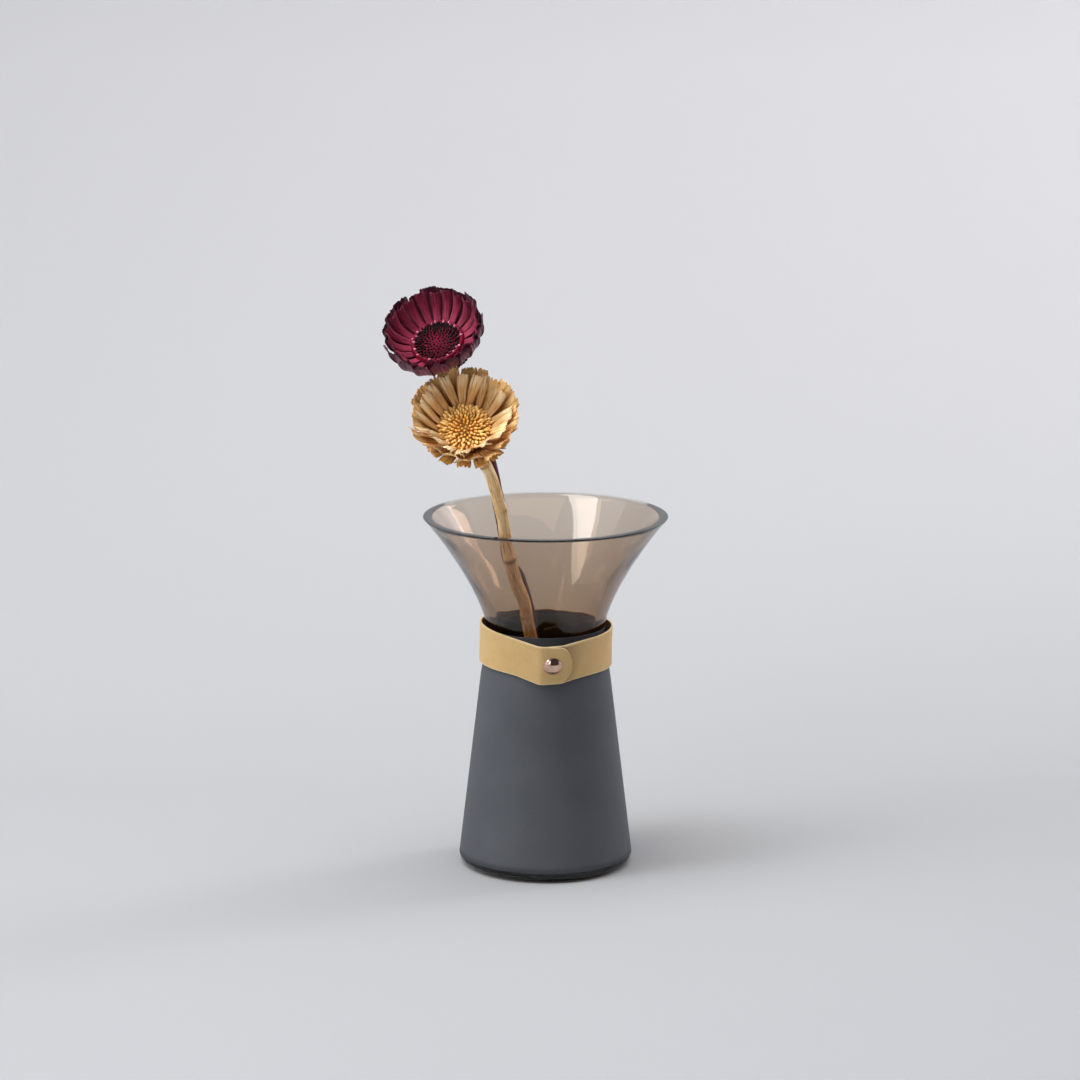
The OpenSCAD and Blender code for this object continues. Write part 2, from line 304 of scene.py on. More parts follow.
def makeMottleGroup():
    # soft cloudy patches with a finer grain on top, 0 to 1
    group, given, result = newTree("ShaderNodeTree", "softMottle", {
        "Vector": "Place", "Float": "Patch Scale, Grain Scale, Grain Share"}, {"Float": "Mask"})
    patches = noiseOf(group, given["Place"], given["Patch Scale"], 3.0, 0.55)
    grain = noiseOf(group, given["Place"], given["Grain Scale"], 2.0, 0.6)
    both = addNode(group, "ShaderNodeMix", {0: given["Grain Share"], 2: patches, 3: grain},
                   data_type="FLOAT")
    fillSockets(result, {"Mask": both.outputs[0]})
    return group


def makeFibreGroup():
    # long streaks that run with the growth of the plant, broken by darker flecks
    group, given, result = newTree("ShaderNodeTree", "dryFibre", {
        "Float": "Along, Across, Shift, Along Scale, Across Scale"},
        {"Float": "Streak, Fine, Fleck"})
    run = times(group, given["Along"], given["Along Scale"])
    side = times(group, given["Across"], given["Across Scale"])
    place = joinVector(group, side, run, given["Shift"])
    fleckPlace = joinVector(group, times(group, side, 0.4), times(group, run, 1.2), given["Shift"])
    fillSockets(result, {"Streak": noiseOf(group, place, 1.0, 3.0, 0.6),
                "Fine": noiseOf(group, place, 3.4, 2.0, 0.55),
                "Fleck": noiseOf(group, fleckPlace, 1.6, 4.0, 0.7)})
    return group


softMottle = makeMottleGroup()
dryFibre = makeFibreGroup()


def makeBractGroup():
    # skin of a bract from its foot to its tip: streaks, pale ridges, a dark worn tip
    group, given, result = newTree("ShaderNodeTree", "bractSkin", {
        "Color": "Foot, Body, Upper, Tip, Light, Dark",
        "Float": "Foot End, Tip Start, Tone Spread"}, {"Color": "Color", "Float": "Height"})
    along, across, tone = [readMark(group, name) for name in ("along", "across", "tone")]
    fibre = useGroup(group, dryFibre, {"Along": along, "Across": across,
                     "Shift": times(group, tone, 37.0),
                     "Along Scale": 1.7, "Across Scale": 4.2})
    ragged = times(group, minus(group, fibre["Streak"], 0.5), 0.34)
    worn = plus(group, along, ragged)
    footMask = remap(group, worn, 0.02, given["Foot End"], 1.0, 0.0, smooth=True)
    upMask = remap(group, worn, 0.45, 0.85, smooth=True)
    tipEnd = plus(group, given["Tip Start"], 0.09)
    tipMask = remap(group, worn, given["Tip Start"], tipEnd, smooth=True)
    colour = mixColour(group, upMask, given["Body"], given["Upper"])
    colour = mixColour(group, footMask, colour, given["Foot"])
    lightMask = remap(group, fibre["Streak"], 0.52, 0.72, smooth=True)
    darkMask = remap(group, fibre["Streak"], 0.46, 0.28, smooth=True)
    colour = mixColour(group, times(group, lightMask, 0.7), colour, given["Light"])
    colour = mixColour(group, times(group, darkMask, 0.75), colour, given["Dark"])
    rimMask = remap(group, addMath(group, "ABSOLUTE", across), 0.8, 1.0, smooth=True)
    colour = mixColour(group, times(group, rimMask, 0.45), colour, given["Dark"])
    level = remap(group, tone, 0.0, 1.0, minus(group, 1.0, given["Tone Spread"]),
                  plus(group, 1.0, given["Tone Spread"]))
    colour = mixColour(group, 1.0, colour, greyOf(group, level), "MULTIPLY")
    colour = mixColour(group, tipMask, colour, given["Tip"])
    height = plus(group, times(group, fibre["Streak"], 0.7), times(group, fibre["Fine"], 0.3))
    fillSockets(result, {"Color": colour, "Height": height})
    return group


bractSkin = makeBractGroup()
print("shared effects ready")

# vase: one thick wall of smoky glass with a flat ground rim

vase = {
    "height": 200, "footRadius": 49.6, "coneTopRadius": 37, "coneTop": 105, "neckRadius": 33.5,
    "neckHeight": 135, "rimRadius": 68.9, "rimWall": 5.2, "neckWall": 6.3, "bodyWall": 5.4,
    "floor": 9, "heelRound": 5, "wellRound": 8, "neckLead": 13, "flareLead": (25.5, 14.5),
    "innerLead": (16.5, 17.5), "rimRound": 0.6, "sides": 288, "wobble": 0.16, "seed": 3.7,
    "tint": (0.535, 0.33, 0.1), "tintDensity": 162.0,
}
coneSlope = (vase["footRadius"] - vase["coneTopRadius"]) / vase["coneTop"]


def coneRadius(height):
    return vase["footRadius"] - coneSlope * height


def glassOutside(steps):
    lead, rim, top = vase["flareLead"], vase["rimRadius"], vase["height"]
    neck, neckAt, coneTop = vase["neckRadius"], vase["neckHeight"], vase["coneTop"]
    heel = vase["heelRound"]
    run = [Vector((0, 0)), Vector((coneRadius(heel) - heel - 6, 0))]
    run += arcRun((coneRadius(heel) - heel, heel), heel, -90, 0, 14)
    run += [mix(run[-1], Vector((vase["coneTopRadius"], coneTop)), i / 24) for i in range(1, 25)]
    run += bezierRun([(vase["coneTopRadius"], coneTop),
                      (coneRadius(coneTop + vase["neckLead"]), coneTop + vase["neckLead"]),
                      (neck, neckAt - vase["neckLead"]), (neck, neckAt)], steps // 2)
    run += bezierRun([(neck, neckAt), (neck, neckAt + lead[1]),
                      (rim - lead[0] * 0.65, top - lead[0] * 0.76), (rim, top)], steps)
    return run


def glassInside(steps):
    lead, rim, top = vase["innerLead"], vase["rimRadius"] - vase["rimWall"], vase["height"]
    neck, neckAt = vase["neckRadius"] - vase["neckWall"], vase["neckHeight"]
    coneTop, shoulder = vase["coneTop"], vase["coneTopRadius"] - vase["bodyWall"]
    well, floor = vase["wellRound"], vase["floor"]
    run = [Vector((0, floor)), Vector((22, floor))]
    turnAt = (coneRadius(floor + well) - vase["bodyWall"] - well, floor + well)
    run += arcRun(turnAt, well, -90, 0, 12)
    run += [mix(run[-1], Vector((shoulder, coneTop)), i / 24) for i in range(1, 25)]
    run += bezierRun([(shoulder, coneTop), (shoulder - 1.5, coneTop + vase["neckLead"]),
                      (neck, neckAt - vase["neckLead"]), (neck, neckAt)], steps // 2)
    run += bezierRun([(neck, neckAt), (neck, neckAt + lead[0]),
                      (rim - lead[1] * 0.85, top - lead[1]), (rim, top)], steps)
    return run


def roundCorner(before, corner, after, radius, steps=5):
    start = corner + (before - corner).normalized() * radius
    end = corner + (after - corner).normalized() * radius
    return [bezier([start, corner, end], i / steps) for i in range(steps + 1)]


def makeGlass():
    outside, inside = glassOutside(44), glassInside(44)
    outer, inner, soft = outside[-1], inside[-1], vase["rimRound"]
    outline = outside[:-1] + roundCorner(outside[-2], outer, inner, soft)
    firstInner = len(outline)
    outline += roundCorner(outer, inner, inside[-2], soft) + list(reversed(inside[:-1]))

    def wobble(index, angle, height):
        if index < firstInner + 6 or height < vase["floor"] + 4:
            return 0
        fade = smoothStep(0, 8, vase["height"] - height)
        place = Vector((math.cos(angle) * 2.4, math.sin(angle) * 2.4, height * 0.045))
        place += Vector((vase["seed"],) * 3)
        return vase["wobble"] * fade * (noise.noise(place) + 0.35 * noise.noise(place * 2.3))
    return latheMesh("glassVase", outline, vase["sides"], wobble=wobble)


def makeGlassFinish():
    finish, tree, shader = newFinish("smokedGlass")
    smears = mottle(tree, 22.0, 160.0, 0.3)
    setShader(shader, colour=(1, 1, 1, 1), roughness=remap(tree, smears, 0.35, 0.7, 0.0, 0.025),
              transmission=1.0, ior=1.5)
    addBump(tree, shader, smears, 0.05, 0.0006)
    clear = addNode(tree, "ShaderNodeBsdfTransparent", {"Color": (0.92, 0.92, 0.92, 1)})
    path = addNode(tree, "ShaderNodeLightPath")
    both = addNode(tree, "ShaderNodeMixShader", {0: path.outputs["Is Shadow Ray"],
                   1: shader.outputs[0], 2: clear.outputs[0]})
    smoke = addNode(tree, "ShaderNodeVolumeAbsorption", {"Color": vase["tint"] + (1,),
                    "Density": vase["tintDensity"]})
    fillSockets(tree.nodes["Material Output"], {"Surface": both.outputs[0],
                "Volume": smoke.outputs[0]})
    return finish


handOver(makeGlass(), "vase", "vase_glass", makeGlassFinish())
print("vase blown")

# coat: sprayed matte grey on the outside of the cone

coat = {
    "lowEdge": 5.5, "topEdge": 137.5, "stand": 0.1, "bite": 0.05,
    "colour": paint(83, 86, 92), "lighter": paint(91, 94, 101), "darker": paint(73, 76, 82),
    "roughness": 0.62,
}


def makeCoat():
    run = [p for p in glassOutside(120) if coat["lowEdge"] < p[1] < coat["topEdge"]]
    low = Vector((coneRadius(coat["lowEdge"]), coat["lowEdge"]))
    run = [low] + run
    out = [p + Vector((coat["stand"], 0)) for p in run]
    back = [p - Vector((coat["bite"], 0)) for p in run]
    outline = out + list(reversed(back))
    piece = latheMesh("greyCoat", outline + [outline[0]], vase["sides"])
    cleanMesh(piece.data, 1e-6)
    return piece


def makeCoatFinish():
    finish, tree, shader = newFinish("matteGreyCoat")
    mask = mottle(tree, 16.0, 1500.0, 0.35)
    colour = addRamp(tree, mask, [(0.3, coat["darker"]), (0.5, coat["colour"]),
                                  (0.72, coat["lighter"])])
    rough = remap(tree, mask, 0.0, 1.0, coat["roughness"] - 0.08, coat["roughness"] + 0.1)
    addBump(tree, shader, noiseOf(tree, objectPlace(tree), 2600.0, 2.0), 0.35, 0.00012)
    setShader(shader, colour=colour, roughness=rough, specular=0.35)
    return finish


handOver(makeCoat(), "vase", "matte_coat", makeCoatFinish())
print("coat sprayed")

# strap: one strip of leather, lapped and snapped at the front

strap = {
    "width": 23, "thick": 1.1, "lowEdge": 116, "lowDrop": 3.9, "topDrop": 3.8, "tilt": 0.04,
    "level": 6,
    "noseLow": 39.5, "noseTop": 45.6, "noseTurn": 5.3, "lapGap": 0.9, "lapPlay": 0.02,
    "loopLow": (36.9, (0, 0)), "loopTop": (36.9, (0.4, -1.5)), "noseHalf": 4.5, "noseBend": 6,
    "endSteps": 16, "arcSteps": 12, "backSteps": 150, "faceSteps": 16, "edgeRound": 0.32,
    "colour": paint(217, 181, 121), "lighter": paint(223, 191, 132), "darker": paint(203, 163, 101),
    # edge: the raw cut edge's own pale colour, also used for a painted highlight along the face
    # borders
    "edge": paint(236, 216, 170), "flesh": paint(62, 48, 40),
    # shade: colour of the painted shadow under the lapped outer end
    "shade": paint(112, 72, 34),
}
noseLean = math.atan2(strap["noseTop"] - strap["noseLow"],
                      strap["width"] - strap["topDrop"] + strap["lowDrop"])
lapStep = (strap["thick"] + strap["lapGap"] + strap["lapPlay"]) / math.cos(noseLean)
lapEnd = strap["width"] / 2


def outward(angle):
    return Vector((-math.sin(angle), -math.cos(angle)))


def alongWay(angle):
    return Vector((-math.cos(angle), math.sin(angle)))


def leaveAngle(loop, reach, side, bend):
    toBend = Vector((side * strap["noseHalf"], -(reach - strap["noseBend"]))) - Vector(loop[1])
    turn = math.atan2(-side * toBend.x, -toBend.y)
    return abs(turn) + math.acos((loop[0] - bend) / toBend.length)


def loopPath(loop, reach):
    # one edge of the strap from above, as (point, angle): outer end, loop, inner end
    bend, half, arcs = strap["noseBend"], strap["noseHalf"], strap["arcSteps"]
    left, right = Vector((-half, -(reach - bend))), Vector((half, -(reach - bend)))
    under = bend - lapStep
    leftLeave, rightLeave = leaveAngle(loop, reach, -1, bend), leaveAngle(loop, reach, 1, under)
    endRun = lapEnd - half - bend * rightLeave
    ends = [math.sin(math.pi / 2 * i / strap["endSteps"]) for i in range(strap["endSteps"], 0, -1)]
    path = [(right + bend * outward(-rightLeave) - endRun * f * alongWay(-rightLeave), -rightLeave)
            for f in ends]
    for centre, radius, start, end, steps in (
            (right, bend, -rightLeave, 0, arcs), (left, bend, 0, leftLeave, arcs),
            (Vector(loop[1]), loop[0], leftLeave, 2 * math.pi - rightLeave, strap["backSteps"]),
            (right, under, -rightLeave, 0, arcs), (left, under, 0, leftLeave, arcs)):
        for i in range(steps + 1):
            angle = mix(start, end, i / steps)
            path.append((centre + radius * outward(angle), angle))
    path += [(left + under * outward(leftLeave) + endRun * f * alongWay(leftLeave), leftLeave)
             for f in reversed(ends)]
    return path


def frontShare(point, nose):
    return min(max(-point[1] / (nose - lapStep), 0), 1)


def tiltDrop(point):
    # level behind the snap, lower to the right of it
    level = strap["level"]
    return strap["tilt"] * (point[0] - min(max(point[0], -level), level))


def lowHeight(point):
    drop = strap["lowDrop"] * frontShare(point, strap["noseLow"]) ** 9
    return strap["lowEdge"] - tiltDrop(point) - drop


def topHeight(point):
    drop = strap["topDrop"] * frontShare(point, strap["noseTop"]) ** 2
    return strap["lowEdge"] + strap["width"] - tiltDrop(point) - drop


def strapSection(low, high, out, width):
    # rounded strip section from low to high: (point, across, cut edge, flesh, highlightBand), each
    # 0 to 1
    half, soft = strap["thick"] / 2, min(strap["edgeRound"], (high - low).length / 3)
    up = (high - low).normalized()
    steps, section = strap["faceSteps"], []
    for face, flesh in ((1, 0), (-1, 1)):
        rows = range(steps + 1) if face > 0 else range(steps, -1, -1)
        for i in rows:
            share = 0.5 - 0.5 * math.cos(math.pi * i / steps)
            point = mix(low + up * soft, high - up * soft, share) + out * half * face
            inset = min(share, 1 - share) * (high - low).length
            # highlightBand: near 1 within 0.9 mm of a face's border, for a painted edge highlight
            section.append((point, mix(0.5 - width / 2, 0.5 + width / 2, share), 0.0, float(flesh),
                            max(0.0, 1 - inset / 0.9)))
        corner, way = (high, 1) if face > 0 else (low, -1)
        for lift in (0.6, 0.0, -0.6):
            pull = soft * (1 - math.sqrt(1 - lift * lift))
            point = corner - up * way * pull + out * half * face * lift
            section.append((point, 0.5 + way * width / 2, 1.0, 0.0, 1.0))
    return section


def makeStrap():
    lowPath = loopPath(strap["loopLow"], strap["noseLow"])
    topPath = loopPath(strap["loopTop"], strap["noseTop"])
    middle = [(a[0] + b[0]) / 2 for a, b in zip(lowPath, topPath)]
    run = [0.0]
    for a, b in zip(middle, middle[1:]):
        run.append(run[-1] + (b - a).length)
    snapAt = strap["endSteps"] + strap["arcSteps"]
    start = (run[snapAt] + run[snapAt + 1]) / 2
    finish = run[-1] - start
    points = []
    marks = {"running": [], "across": [], "cutEdge": [], "flesh": [], "highlightBand": [], "lapShade": []}
    turn = Matrix.Rotation(math.radians(strap["noseTurn"]), 3, "Z")
    for i, (low, top) in enumerate(zip(lowPath, topPath)):
        past = 0
        if i <= snapAt:
            past = start - run[i]
        elif i >= len(run) - snapAt - 1:
            past = run[i] - finish
        past = min(max(past / lapEnd, 0), 1)
        beyond = run[-1] - 2 * start - run[i] if i > len(run) // 2 else 99
        width = max(0.05, (1 - past ** 2.6) ** 0.55)
        a = Vector((*low[0], lowHeight(low[0])))
        b = Vector((*top[0], topHeight(top[0])))
        angle = (low[1] + top[1]) / 2
        way = Vector((*alongWay(angle), 0))
        out = way.cross((b - a).normalized()).normalized()
        if out.dot(Vector((*outward(angle), 0))) < 0:
            out = -out
        section = strapSection(mix(a, b, 0.5 - width / 2), mix(a, b, 0.5 + width / 2), out, width)
        for point, across, cut, flesh, highlightBand in section:
            points.append(turn @ point * mm)
            # painted shadow: the outer end's shadow on the layer under it is painted as a darker
            # band
            reach = lapEnd * (1 - min(abs(2 * across - 1), 1) ** 1.82) ** 0.385
            shade = smoothStep(3.6, 0, beyond + lapEnd - reach)
            addMarks(marks, run[i] * mm, across, cut, flesh, highlightBand, shade)
    return addMesh("leatherStrap", points, tubeFaces(len(run) - 1, len(section)), marks)


def makeLeatherFinish():
    finish, tree, shader = newFinish("tanLeather")
    running, across = readMark(tree, "running"), readMark(tree, "across")
    flesh = readMark(tree, "flesh")
    place = joinVector(tree, running, times(tree, across, strap["width"] * mm),
                       times(tree, flesh, 0.05))
    patches = useGroup(tree, softMottle, {"Place": place, "Patch Scale": 55.0,
                       "Grain Scale": 900.0, "Grain Share": 0.4})["Mask"]
    colour = addRamp(tree, patches, [(0.3, strap["darker"]), (0.5, strap["colour"]),
                                     (0.75, strap["lighter"])])
    pebble = addNode(tree, "ShaderNodeTexVoronoi", {"Vector": place, "Scale": 1500.0,
                     "Randomness": 1.0}, feature="DISTANCE_TO_EDGE")
    crease = remap(tree, pebble.outputs["Distance"], 0.0, 0.16, smooth=True)
    colour = mixColour(tree, times(tree, minus(tree, 1.0, crease), 0.35),
                       colour, strap["darker"])
    # pale rim: the cut edge's own colour, plus a painted highlight along the rounded border of the
    # grain face
    rim = addMath(tree, "MAXIMUM", times(tree, readMark(tree, "highlightBand"), 0.5),
                  readMark(tree, "cutEdge"))
    rim = times(tree, rim, minus(tree, 1.0, flesh))
    nap = noiseOf(tree, place, 700.0, 5.0)
    # the flesh side is painted dark brown: painted shade for the strap's shadowed inside, with the
    # nap varying it
    fleshShade = addRamp(tree, nap, [
        (0.3, tuple(0.6 * c for c in strap["flesh"][:3]) + (1,)), (0.7, strap["flesh"])])
    colour = mixColour(tree, flesh, colour, fleshShade)
    # painted shadow of the lapped outer end on the layer under it
    colour = mixColour(tree, times(tree, readMark(tree, "lapShade"), 0.55), colour,
                       strap["shade"])
    colour = mixColour(tree, rim, colour, strap["edge"])
    addBump(tree, shader, plus(tree, times(tree, crease, 0.6), times(tree, nap, 0.5)),
            0.5, 0.00018)
    setShader(shader, colour=colour, roughness=remap(tree, patches, 0.0, 1.0, 0.42, 0.66),
              specular=0.45, sheen=0.08, sheenRoughness=0.5)
    return finish


handOver(makeStrap(), "strap", "strap", makeLeatherFinish())
print("strap cut and lapped")

# snap: domed cap, socket, stud and post, all turned parts

snap = {
    "capRadius": 5.25, "capHeight": 3.3, "capLip": 0.45, "barrelRadius": 1.5, "socketRadius": 4.2,
    "holeRadius": 2.0, "studRadius": 1.85, "postThick": 0.5, "flange": 0.3,
    "colour": paint(226, 190, 168), "worn": paint(200, 160, 138),
}


def snapPlace():
    low = Vector((0, -strap["noseLow"], lowHeight((0, -strap["noseLow"]))))
    top = Vector((0, -strap["noseTop"], topHeight((0, -strap["noseTop"]))))
    face = Matrix.Rotation(math.radians(strap["noseTurn"]), 4, "Z")
    face = face @ Matrix.Translation((low + top) / 2 * mm)
    face = face @ Matrix.Rotation(math.pi / 2 + noseLean, 4, "X")
    return face @ Matrix.Translation((0, 0, strap["thick"] / 2 * mm))


def bevelRun(corners, soft):
    # closes an outline's sharp corners with a small round
    run = [Vector(corners[0])]
    for before, corner, after in zip(corners, corners[1:], corners[2:]):
        run += roundCorner(Vector(before), Vector(corner), Vector(after), soft, 3)
    return run + [Vector(corners[-1])]


def makeSnap():
    place, thick, gap = snapPlace(), strap["thick"], strap["lapGap"]
    radius, rise, lip = snap["capRadius"], snap["capHeight"], snap["capLip"]
    domeRadius = ((radius - lip * 0.4) ** 2 + (rise - lip) ** 2) / (2 * (rise - lip))
    edge = math.degrees(math.asin((radius - lip * 0.4) / domeRadius))
    cap = [Vector((0, -thick)), Vector((snap["barrelRadius"], -thick)),
           Vector((snap["barrelRadius"], 0.02)), Vector((radius - 0.5, 0.02))]
    cap += arcRun((radius - lip * 0.5, lip * 0.5 + 0.02), lip * 0.5, -90, 60, 8)
    cap += arcRun((0, rise - domeRadius), domeRadius, 90 - edge, 90, 28)
    cap[-1] = Vector((0, rise))
    low = -thick - gap
    socket = bevelRun([(0, -thick), (snap["socketRadius"], -thick), (snap["socketRadius"], low),
                       (snap["holeRadius"], low), (snap["holeRadius"], -thick - snap["flange"]),
                       (0, -thick - snap["flange"])], 0.08)
    studTop = low + gap - snap["flange"] - 0.1
    stud = bevelRun([(0, low), (snap["studRadius"], low), (snap["studRadius"], studTop),
                     (0, studTop)], 0.1)
    back = low - thick - strap["lapPlay"]
    post = bevelRun([(0, low), (snap["barrelRadius"], low), (snap["barrelRadius"], back),
                     (snap["socketRadius"], back), (snap["socketRadius"], back - snap["postThick"]),
                     (0, back - snap["postThick"])], 0.12)
    made = [("snapCap", cap, 96), ("snapSocket", socket, 64), ("snapStud", stud, 48),
            ("snapPost", post, 64)]
    return [latheMesh(name, outline, sides, place) for name, outline, sides in made]


def makeSnapFinish():
    finish, tree, shader = newFinish("snapMetal")
    mask = mottle(tree, 320.0, 2600.0, 0.3)
    addBump(tree, shader, mask, 0.015, 0.0001)
    setShader(shader, colour=addRamp(tree, mask, [(0.3, snap["worn"]), (0.6, snap["colour"])]),
              roughness=remap(tree, mask, 0.3, 0.75, 0.03, 0.09), metallic=1.0)
    return finish


snapMetal = makeSnapFinish()
for piece, node in zip(makeSnap(), ("snap_cap", "snap_socket", "snap_stud", "snap_post")):
    handOver(piece, "strap", node, snapMetal)
print("snap turned")

# stems: woody, with leaf scars at the knots

tanStemShape = {
    "line": [(22.5, 8, 11), (15.5, 0.5, 40), (5, -9, 78), (-4, -17.6, 115), (-7.3, -21.2, 134),
             (-9.4, -23.6, 146), (-11.4, -26.8, 158), (-16, -31.4, 171), (-19.2, -35.6, 184),
             (-22.4, -39.8, 198), (-23.4, -42.4, 206), (-25.8, -45.6, 217), (-29.6, -48.8, 231),
             (-33.6, -50.6, 239.8), (-38.4, -50.8, 246), (-42.2, -53.6, 250.8),
             (-43.2, -57.3, 254.8)],
    "knots": [0.14, 0.33, 0.5, 0.66, 0.8], "seed": 11, "bark": 0.22, "fringe": 0.1,
    "body": paint(246, 204, 146), "light": paint(255, 232, 190), "dark": paint(188, 134, 78),
    "scar": paint(96, 62, 34), "roughness": 0.72, "slot": "tan_bark",
}
burgundyStemShape = {
    "line": [(17, 24, 11), (12, 15, 40), (4, 4, 78), (-3.5, -8.6, 115), (-6.8, -13.2, 133),
             (-9, -16.2, 150), (-14.4, -20.8, 170), (-19.4, -23.4, 179), (-22.3, -26, 193),
             (-25.6, -28.6, 210), (-28.6, -31, 228), (-32.4, -32.2, 243), (-40, -32.6, 262),
             (-48.6, -31.4, 281), (-54.2, -33, 291.4), (-56.7, -38.5, 297.6)],
    "knots": [0.18, 0.37, 0.55, 0.62, 0.78], "seed": 23, "bark": 0.18, "fringe": 0.08,
    "body": paint(66, 24, 44), "light": paint(112, 48, 74), "dark": paint(30, 10, 20),
    "scar": paint(24, 9, 16), "roughness": 0.6, "slot": "burgundy_bark",
}
stem = {"radius": 3.3, "knotRise": 0.55, "knotLength": 0.011, "rings": 300, "sides": 28}


def linePoint(line, share):
    # smooth line through the given points
    count = len(line) - 1
    place = min(share * count, count - 0.0001)
    index = int(place)
    u = place - index
    b, c = Vector(line[index]), Vector(line[index + 1])
    a = Vector(line[index - 1]) if index > 0 else 2 * b - c
    d = Vector(line[index + 2]) if index < count - 1 else 2 * c - b
    return 0.5 * (2 * b + (c - a) * u + (2 * a - 5 * b + 4 * c - d) * u * u
                  + (3 * b - 3 * c + d - a) * u ** 3)


def makeStem(name, shape):
    line, seed = shape["line"], shape["seed"]
    rings, sides = stem["rings"], stem["sides"]
    points, marks = [], {"running": [], "around": [], "scar": []}
    across, last, run = Vector((0, 1, 0)), linePoint(line, 0), 0.0
    for i in range(rings + 1):
        share = i / rings
        here = linePoint(line, share)
        run += (here - last).length
        last = here
        ahead = (linePoint(line, min(share + 0.004, 1)) - linePoint(line, max(share - 0.004, 0)))
        ahead.normalize()
        across = (across - ahead * across.dot(ahead)).normalized()
        up = ahead.cross(across)
        ends = min(smoothStep(-0.002, 0.004, share), smoothStep(-0.002, 0.004, 1 - share))
        for j in range(sides):
            angle = 2 * math.pi * j / sides
            bark = noise.noise(Vector((2.1 * math.cos(angle) + seed, 2.1 * math.sin(angle),
                                       run * 0.035)))
            fine = noise.noise(Vector((5.5 * math.cos(angle), 5.5 * math.sin(angle) + seed,
                                       run * 0.11)))
            rise, scar = 0.0, 0.0
            for number, knot in enumerate(shape["knots"]):
                near = math.exp(-((share - knot) / stem["knotLength"]) ** 2)
                facing = 0.55 + 0.45 * math.cos(angle - number * 2.4 - seed)
                rise += stem["knotRise"] * near * facing
                scar = max(scar, math.exp(-((share - knot) / 0.005) ** 2) * facing)
            reach = stem["radius"] * (1.02 - 0.05 * share) + shape["bark"] * bark
            reach += shape["fringe"] * fine + rise - 0.18 * scar
            points.append((here + ends * reach * (math.cos(angle) * across
                                                  + math.sin(angle) * up)) * mm)
            addMarks(marks, run * mm, abs(2 * j / sides - 1), scar)
    return addMesh(name, points, tubeFaces(rings, sides), marks)


def makeBarkFinish(name, shape):
    finish, tree, shader = newFinish(name)
    fibre = useGroup(tree, dryFibre, {"Along": readMark(tree, "running"),
                     "Across": readMark(tree, "around"), "Shift": float(shape["seed"]),
                     "Along Scale": 95.0, "Across Scale": 9.0})
    colour = addRamp(tree, fibre["Streak"], [(0.3, shape["dark"]), (0.5, shape["body"]),
                                             (0.66, shape["light"])])
    fleck = remap(tree, fibre["Fleck"], 0.6, 0.72, smooth=True)
    colour = mixColour(tree, times(tree, fleck, 0.7), colour, shape["dark"])
    colour = mixColour(tree, times(tree, readMark(tree, "scar"), 0.85), colour,
                       shape["scar"])
    height = plus(tree, fibre["Streak"], times(tree, fibre["Fine"], 0.5))
    addBump(tree, shader, height, 0.7, 0.0005)
    dull = shape["roughness"]
    setShader(shader, colour=colour, specular=0.3,
              roughness=remap(tree, fibre["Fine"], 0.0, 1.0, dull - 0.12, dull + 0.12))
    return finish


for flower, shape in (("tan", tanStemShape), ("burgundy", burgundyStemShape)):
    handOver(makeStem(flower + "Stem", shape), flower + "_flower", flower + "_stem",
             makeBarkFinish(flower + "Bark", shape))
print("stems grown")

# flowers: a woody base, a disc of packed florets and rows of ridged bracts

tanFlower = {
    "disc": (-43.4, -67, 263.4), "rise": 42, "yaw": 1, "discRadius": 12, "seed": 5, "collar": 0.0,
    "inner": {"foot": (13.2, -3.2), "bend": (20.5, 5.5), "tip": (25.4, 14), "count": 22,
              "turn": 0, "footWidth": 3.6, "tipWidth": 6.2, "curl": 0.8, "ragged": 0.18,
              "ridge": 0.36, "crown": 1.5, "shingle": 0.05, "swing": 0.14, "twist": 0.32,
              "variants": 11, "seed": 31},
    "outer": {"foot": (13.4, -4.8), "bend": (25, 2), "tip": (28, 13.4), "count": 22,
              "turn": 8.2, "footWidth": 4.6, "tipWidth": 9.2, "curl": 0.8, "ragged": 0.12,
              "ridge": 0.5, "crown": 1.1, "shingle": 0.06, "swing": 0.08, "twist": 0.14,
              "variants": 11, "seed": 47},
    "back": {"foot": (10, -8.4), "bend": (18, -8), "tip": (24, -2.4), "count": 15, "turn": 3,
             "footWidth": 4.4, "tipWidth": 8, "curl": 1.8, "ragged": 0.14, "ridge": 0.36,
             "crown": 0.7, "shingle": 0.08, "swing": 0.07, "twist": 0.1, "variants": 7,
             "seed": 61},
}
burgundyFlower = {
    "disc": (-59.1, -47, 307.2), "rise": 47, "yaw": 16, "discRadius": 12.6, "seed": 9,
    "collar": 1.0,
    "inner": {"foot": (13.9, -3.2), "bend": (25.6, 0.8), "tip": (24.8, 12.4), "count": 22,
              "turn": 4, "footWidth": 3.7, "tipWidth": 6.4, "curl": 0.1, "ragged": 0.1,
              "ridge": 0.3, "crown": 1.3, "shingle": 0.04, "swing": 0.05, "twist": 0.12,
              "variants": 9, "seed": 71},
    "outer": {"foot": (14.2, -4.8), "bend": (28.8, -1), "tip": (26.8, 11.6), "count": 20,
              "turn": 0, "footWidth": 5.6, "tipWidth": 9.6, "curl": 0.1, "ragged": 0.06,
              "ridge": 0.36, "crown": 0.6, "shingle": 0.05, "swing": 0.01, "twist": 0.02,
              "variants": 9, "seed": 83},
    "back": {"foot": (9.8, -9), "bend": (16.6, -9.2), "tip": (19.2, -5.4), "count": 15, "turn": 6,
             "footWidth": 4.4, "tipWidth": 6.8, "curl": 0.2, "ragged": 0.12, "ridge": 0.25,
             "crown": 0.4, "shingle": 0.1, "swing": 0.03, "twist": 0.05, "variants": 7,
             "seed": 97},
}
blade = {"thick": 0.62, "rows": 22, "columns": 14}


def flowerPlace(flower):
    place = Matrix.Translation(Vector(flower["disc"]) * mm)
    place = place @ Matrix.Rotation(math.radians(-flower["yaw"]), 4, "Z")
    return place @ Matrix.Rotation(math.radians(90 - flower["rise"]), 4, "X")


